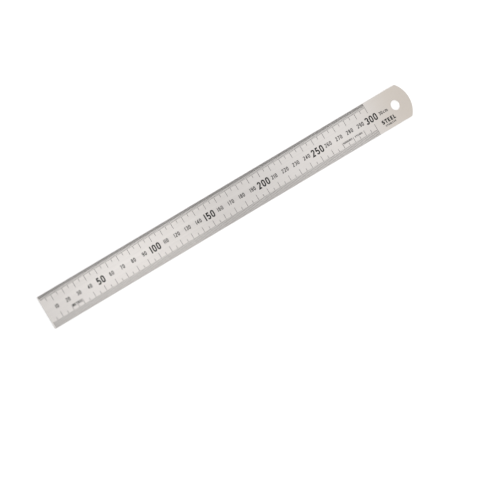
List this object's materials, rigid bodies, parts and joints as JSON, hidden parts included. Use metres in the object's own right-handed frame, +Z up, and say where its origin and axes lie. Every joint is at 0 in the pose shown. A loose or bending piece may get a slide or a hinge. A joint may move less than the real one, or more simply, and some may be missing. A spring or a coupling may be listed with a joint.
{
  "type": "steel ruler",
  "caption": "Flat satin steel ruler, millimetre scales on one face and inch scales on the other, with a square zero end and a rounded end with a hanging hole.",
  "frame": {"origin": "middle of the square zero end, on the resting (inch) face", "axes": "+X along the blade from the zero end to the hanging end, so X reads in millimetres; +Y across to the half-millimetre edge; +Z up out of the metric face"},
  "size_m": [0.335, 0.025, 0.001],
  "materials": {
    "satin_steel": "satin, non-glare, fine grain along the blade",
    "black_enamel": "matt black enamel, flush with the steel"
  },
  "bodies": {
    "root": {"blade": "satin_steel", "metric_half_mm_graduations": "black_enamel", "metric_mm_graduations": "black_enamel", "metric_major_numerals": "black_enamel", "metric_minor_numerals": "black_enamel", "metric_unit_marks": "black_enamel", "metric_wording": "black_enamel", "inch_decimal_graduations": "black_enamel", "inch_fraction_graduations": "black_enamel", "inch_numerals": "black_enamel", "inch_division_labels": "black_enamel", "inch_unit_marks": "black_enamel", "inch_wording": "black_enamel"}
  },
  "joints": []
}
